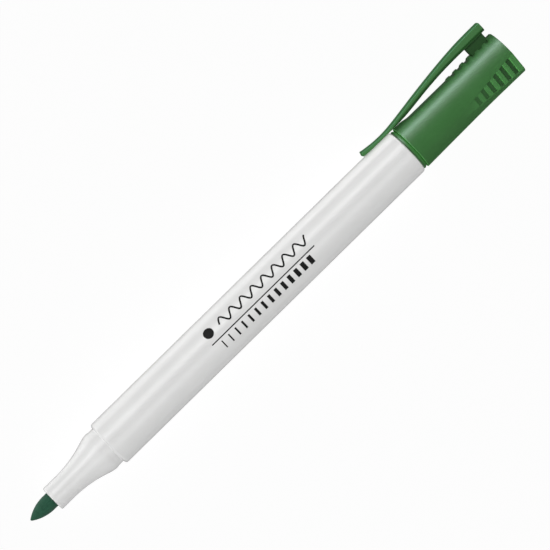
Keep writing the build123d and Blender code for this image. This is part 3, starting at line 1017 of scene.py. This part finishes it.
def clip():
    """Pocket clip's arm, which bends over its part next to the block."""
    sections = []
    for turn in np.radians((90, 60, 30, 0)):
        x = CLIP_FOOT_X + CLIP_FOOT_EDGE_R * (1 - math.sin(turn))
        sections.append(clip_section(x, CLIP_FOOT_EDGE_R * (1 - math.cos(turn))))
    stations = list(np.linspace(CLIP_FOOT_X + 0.25, CLIP_FOOT_X + 1.2, 8))
    stations += list(np.linspace(CLIP_FOOT_X + 1.6, BLOCK_FRONT_X, 70))
    stations += list(np.linspace(BLOCK_FRONT_X, CLIP_END_X - 0.3, 8)[1:])
    sections += [clip_section(x) for x in stations]
    for turn in np.radians((15, 35, 55, 75, 90)):
        x = CLIP_END_X - CLIP_END_EDGE_R * (1 - math.sin(turn))
        sections.append(clip_section(x, CLIP_END_EDGE_R * (1 - math.cos(turn))))
    vertices, faces = skin_rings([ring for ring, _ in sections])
    piece = make_object("clip_arm", vertices, faces, GREEN)
    add_painted_light(piece, [shade for _, shades in sections for shade in shades])
    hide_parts("clip")
    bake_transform(piece)


# The block and the ledge reach this far into the cap's wall.
BLOCK_FOOT_Y = RUNWAY_Y - 0.4
# Top of the ledge behind the block, as (x, y) points: level, then over the cap's closed end.
LEDGE_PROFILE = [
    (BLOCK_BACK_X - 0.4, LEDGE_Y),
    (LEDGE_BACK_X - 0.08, LEDGE_Y),
    (LEDGE_BACK_X - 0.02, LEDGE_Y - 0.02),
    (LEDGE_BACK_X, LEDGE_Y - 0.08),
]


def ledge_section(x, top_y):
    """Cross-section of the ledge, as a ring of (x, y, z) points."""
    side_z = BLOCK_HALF_WIDTH
    right = [
        (top_y, 0.0),
        (top_y, side_z - LEDGE_EDGE),
        (top_y - LEDGE_EDGE / 3, side_z - LEDGE_EDGE / 3),
        (top_y - LEDGE_EDGE, side_z),
        (BLOCK_FOOT_Y, side_z),
        (BLOCK_FOOT_Y, 0.0),
    ]
    ring = [(x, y, z) for y, z in right]
    return ring + [(x, y, -z) for y, z in reversed(right[1:-1])]


def bridge_block():
    """Block between the clip and the cap, flared at the clip, with a low ledge behind it."""
    length = BLOCK_BACK_X - BLOCK_FRONT_X
    centre_x = (BLOCK_FRONT_X + BLOCK_BACK_X) / 2

    def outline(y, grow):
        half_x = length / 2 + grow
        half_z = BLOCK_HALF_WIDTH + grow
        corner = BLOCK_CORNER_R + grow
        ring = []
        for start, sx, sz in ((0, 1, 1), (90, -1, 1), (180, -1, -1), (270, 1, -1)):
            for turn in np.radians(np.linspace(start, start + 90, 6)):
                ring.append((
                    centre_x + sx * (half_x - corner) + corner * math.cos(turn),
                    y,
                    sz * (half_z - corner) + corner * math.sin(turn),
                ))
        return ring

    def flare(gap):
        """How far the sides stand out, by the distance from the surface that they meet."""
        inside = max(0.0, BLOCK_FILLET_R - gap)
        return BLOCK_FILLET_R - math.sqrt(max(0.0, BLOCK_FILLET_R**2 - inside**2))

    rings = [outline(BLOCK_FOOT_Y, 0.0)]
    for y in np.linspace(RUNWAY_Y + 0.2, CLIP_UNDER_Y - BLOCK_FILLET_R, 5):
        rings.append(outline(y, 0.0))
    for gap in (0.22, 0.15, 0.09, 0.045, 0.015, 0.0):
        rings.append(outline(CLIP_UNDER_Y - gap, flare(gap)))
    rings.append(outline(CLIP_UNDER_Y + BLOCK_INTO_CLIP, BLOCK_FILLET_R))
    vertices, faces = skin_rings(rings)
    block_count = len(vertices)
    ledge_vertices, ledge_faces = skin_rings([ledge_section(x, y) for x, y in LEDGE_PROFILE])
    vertices += ledge_vertices
    faces += [tuple(v + block_count for v in face) for face in ledge_faces]
    piece = make_object("clip_bridge", vertices, faces, GREEN)
    # Painted shade: the block, set back under the clip, and the ledge behind it are coloured darker.
    add_painted_light(piece, [BLOCK_PAINTED_SHADE] * block_count + [LEDGE_PAINTED_SHADE] * len(ledge_vertices))
    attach(piece, "cap_body")


def dress_inner_nodes():
    """The pieces that stay as CAD made them get their materials."""
    looks = {"ink_reservoir": CORE_FELT, "reservoir_film": FILM, "inner_cap": LINER}
    for node, material in looks.items():
        node_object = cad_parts[node]
        node_object.data.materials.clear()
        node_object.data.materials.append(material)


barrel()
barrel_print()
nib()
rear_plug()
cap()
clip()
bridge_block()
dress_inner_nodes()


# ---------------------------------------------------------------- floor, light and camera

FLOOR_Z = BARREL_LOW.z
FLOOR_HALF_SIZE = 6000.0
# How bright the floor shines on the marker, how bright the camera sees it, and how much of
# its look comes from that shine.
FLOOR_GLOW = 0.8
FLOOR_SEEN_GLOW = 1.14
FLOOR_GLOW_SHARE = 0.85
SURROUNDINGS_LEVEL = 0.075
SURROUNDINGS_SEEN = (0.94, 0.94, 0.94, 1)
# Panels: distances and sizes in metres.
PANEL_DISTANCE = 0.6
PANEL_LENGTH = 3.0
END_PANEL_SIZE = 0.5
# Camera: where it aims, in millimetres past the object's middle and off the pen axis towards
# the clip, then its distance in metres, how it leans from overhead, and its roll and lens.
AIM_PAST_MIDDLE = 2.49
AIM_TO_CLIP = 0.96
CAMERA_DISTANCE = 1.080
LEAN_TO_NIB = math.radians(2.9)
LEAN_TO_CLIP = math.radians(7.0)
CAMERA_ROLL = math.radians(44.445)
CAMERA_LENS = 308.4


def floor():
    """Pale sweep: mostly self-lit to the camera, so that only a faint shadow shows on it."""
    s = Shader("floor")
    speckle = s.noise(s.coordinates, 60.0, detail=2.0)
    tone = s.mix(s.share(speckle), (0.90, 0.90, 0.90, 1), (0.88, 0.88, 0.88, 1))
    s.finish(Base_Color=tone, Roughness=0.9, Specular_IOR_Level=0.1)
    glow = s.node("Emission", Color=(1.0, 1.0, 1.0, 1))
    path = s.node("LightPath")
    seen = path.outputs["Is Camera Ray"]
    s.set(glow, "Strength", s.ramp(seen, 0.0, 1.0, FLOOR_GLOW, FLOOR_SEEN_GLOW))
    both = s.node("MixShader", i0=FLOOR_GLOW_SHARE, i1=s.surface.outputs[0], i2=glow.outputs[0])
    s.tree.links.new(both.outputs[0], s.tree.nodes["Material Output"].inputs["Surface"])
    size = FLOOR_HALF_SIZE
    corners = [(-size, -size), (size, -size), (size, size), (-size, size)]
    mesh = bpy.data.meshes.new("floor")
    mesh.from_pydata([(x * MM, y * MM, FLOOR_Z * MM) for x, y in corners], [], [(0, 1, 2, 3)])
    mesh.materials.append(s.material)
    piece = bpy.data.objects.new("floor", mesh)
    piece.visible_glossy = False
    bpy.context.scene.collection.objects.link(piece)


def surroundings():
    """Dim even surroundings; the camera itself sees plain pale ones behind the floor."""
    world = bpy.data.worlds.new("studio")
    bpy.context.scene.world = world
    world.use_nodes = True
    nodes, links = world.node_tree.nodes, world.node_tree.links
    dim = nodes["Background"]
    dim.inputs["Color"].default_value = (1.0, 1.0, 1.0, 1)
    dim.inputs["Strength"].default_value = SURROUNDINGS_LEVEL
    plain = nodes.new("ShaderNodeBackground")
    plain.inputs["Color"].default_value = SURROUNDINGS_SEEN
    path = nodes.new("ShaderNodeLightPath")
    choose = nodes.new("ShaderNodeMixShader")
    links.new(path.outputs["Is Camera Ray"], choose.inputs[0])
    links.new(dim.outputs[0], choose.inputs[1])
    links.new(plain.outputs[0], choose.inputs[2])
    links.new(choose.outputs[0], nodes["World Output"].inputs["Surface"])


def fade_to_edges(light):
    """Make a panel brightest along its middle line and dark at its two long edges."""
    light.use_nodes = True
    nodes, links = light.node_tree.nodes, light.node_tree.links
    place = nodes.new("ShaderNodeNewGeometry")
    parts = nodes.new("ShaderNodeSeparateXYZ")
    links.new(place.outputs["Parametric"], parts.inputs[0])
    across = parts.outputs["Y"]

    def math_node(operation, first, second):
        made = nodes.new("ShaderNodeMath")
        made.operation = operation
        for socket, value in zip(made.inputs, (first, second)):
            if isinstance(value, bpy.types.NodeSocket):
                links.new(value, socket)
            else:
                socket.default_value = value
        return made.outputs[0]

    # A parabola over the panel's width that is 1 in the middle.
    product = math_node("MULTIPLY", across, math_node("SUBTRACT", 1.0, across))
    links.new(math_node("MULTIPLY", product, 4.0), nodes["Emission"].inputs["Strength"])


def hang(name, light, back, along, lit, kind):
    """Place a light that shines against the direction back, on the named pieces only.

    Its kind is shine for a reflection only, fill for everything but the reflection, or both.
    """
    lamp = bpy.data.objects.new(name, light)
    across = back.cross(along)
    lamp.location = back * PANEL_DISTANCE
    lamp.rotation_euler = Matrix((along, across, back)).transposed().to_euler()
    lamp.visible_camera = False
    lamp.visible_diffuse = kind != "shine"
    lamp.visible_glossy = kind != "fill"
    bpy.context.scene.collection.objects.link(lamp)
    group = bpy.data.collections.new(name + "_lit")
    for piece in lit:
        group.objects.link(bpy.data.objects[piece])
    lamp.light_linking.receiver_collection = group
    lamp.light_linking.blocker_collection = group


def end_panel(name, rise, brightness, lit, kind):
    """Soft light at the nib end, a few degrees above the horizon, that picks out what faces it."""
    light = bpy.data.lights.new(name, "AREA")
    light.shape = "SQUARE"
    light.size = END_PANEL_SIZE
    light.energy = brightness * math.pi * END_PANEL_SIZE**2
    angle = math.radians(rise)
    back = Vector((-math.cos(angle), 0.0, math.sin(angle)))
    hang(name, light, back, Vector((0, 1, 0)), lit, kind)


def panel(name, low, high, brightness, lit, kind, colour=(1.0, 1.0, 1.0)):
    """Soft light that spans the angles low to high, in degrees from overhead to the clip side.

    Product photographers flag their lights so that each one reaches one material only; here
    the light names the pieces that it lights.
    """
    light = bpy.data.lights.new(name, "AREA")
    light.color = colour
    light.shape = "RECTANGLE"
    light.size = PANEL_LENGTH
    light.size_y = 2 * PANEL_DISTANCE * math.tan(math.radians(high - low) / 2)
    light.energy = brightness * math.pi * light.size * light.size_y
    fade_to_edges(light)
    angle = math.radians(low + high) / 2
    back = Vector((0.0, math.sin(angle), math.cos(angle)))
    hang(name, light, back, Vector((1, 0, 0)), lit, kind)


WHITE_PIECES = ("barrel_tube", "nib_rod", "barrel_print")
CAP_PIECES = ("cap_tube", "clip_bridge", "rear_plug_body")
SHINY_PIECES = ("cap_tube", "rear_plug_body")
CLIP_PIECES = ("clip_arm",)
COOL = (0.92, 1.0, 1.10)
COOLER = (0.85, 1.0, 1.30)
# Name, lower and upper angle, brightness, the pieces that each panel lights and how, colour.
PANELS = [
    ("overhead_panel", -36, 0, 1.8, WHITE_PIECES, "both"),
    ("clip_side_panel", 23, 58, 3.03, WHITE_PIECES, "both"),
    ("rear_panel", -72, -30, 0.34, WHITE_PIECES, "both"),
    ("low_rear_panel", -112, -66, 1.0, WHITE_PIECES, "both"),
    ("low_clip_side_panel", 86, 120, 2.8, WHITE_PIECES, "both"),
    ("lower_edge_clip_side", 106, 150, 1.7, WHITE_PIECES, "shine"),
    ("lower_edge_rear", -150, -100, 0.7, WHITE_PIECES, "shine"),
    ("cap_fill", -60, 40, 0.74, CAP_PIECES, "fill"),
    ("cap_rear_fill", -110, -50, 1.62, CAP_PIECES, "fill"),
    ("cap_clip_side_fill", 20, 64, 1.86, CAP_PIECES, "fill"),
    ("cap_panel", 36, 66, 1.9, CAP_PIECES, "both"),
    ("cap_highlight", 62, 84, 11.2, SHINY_PIECES, "shine", COOL),
    ("clip_fill", -30, 50, 2.45, CLIP_PIECES, "fill"),
    ("clip_outer_fill", 66, 106, 2.9, CLIP_PIECES, "both", COOLER),
]
# Name, rise above the horizon, brightness, the pieces that each end panel lights and how.
END_PANELS = [
    ("nose_end_panel", 15, 1.0, WHITE_PIECES, "fill"),
    ("cap_end_panel", 15, 5.0, SHINY_PIECES, "fill"),
    ("clip_end_panel", 15, 3.0, CLIP_PIECES, "fill"),
]


def lights():
    """Dim surroundings and all panels."""
    surroundings()
    for panel_settings in PANELS:
        panel(*panel_settings)
    for panel_settings in END_PANELS:
        end_panel(*panel_settings)


def camera():
    """Long lens nearly above the marker, towards its nib end and its clip side."""
    middle = (Vector(cad_box[0]) + Vector(cad_box[1])) / 2
    aim = Vector((middle.x + AIM_PAST_MIDDLE * MM, AIM_TO_CLIP * MM, 0))
    back = Vector((-math.tan(LEAN_TO_NIB), math.tan(LEAN_TO_CLIP), 1)).normalized()
    pen = Vector((1, 0, 0))
    pen = (pen - back * pen.dot(back)).normalized()
    across = back.cross(pen)
    right = pen * math.cos(CAMERA_ROLL) - across * math.sin(CAMERA_ROLL)
    up = pen * math.sin(CAMERA_ROLL) + across * math.cos(CAMERA_ROLL)
    data = bpy.data.cameras.new("camera")
    data.sensor_width = 36.0
    data.lens = CAMERA_LENS
    data.clip_start = 0.05
    data.clip_end = 30.0
    made = bpy.data.objects.new("camera", data)
    rotation = Matrix((right, up, back)).transposed().to_4x4()
    made.matrix_world = Matrix.Translation(aim + back * CAMERA_DISTANCE) @ rotation
    bpy.context.scene.collection.objects.link(made)
    bpy.context.scene.camera = made


floor()
lights()
camera()
bpy.context.scene.view_settings.view_transform = "Standard"
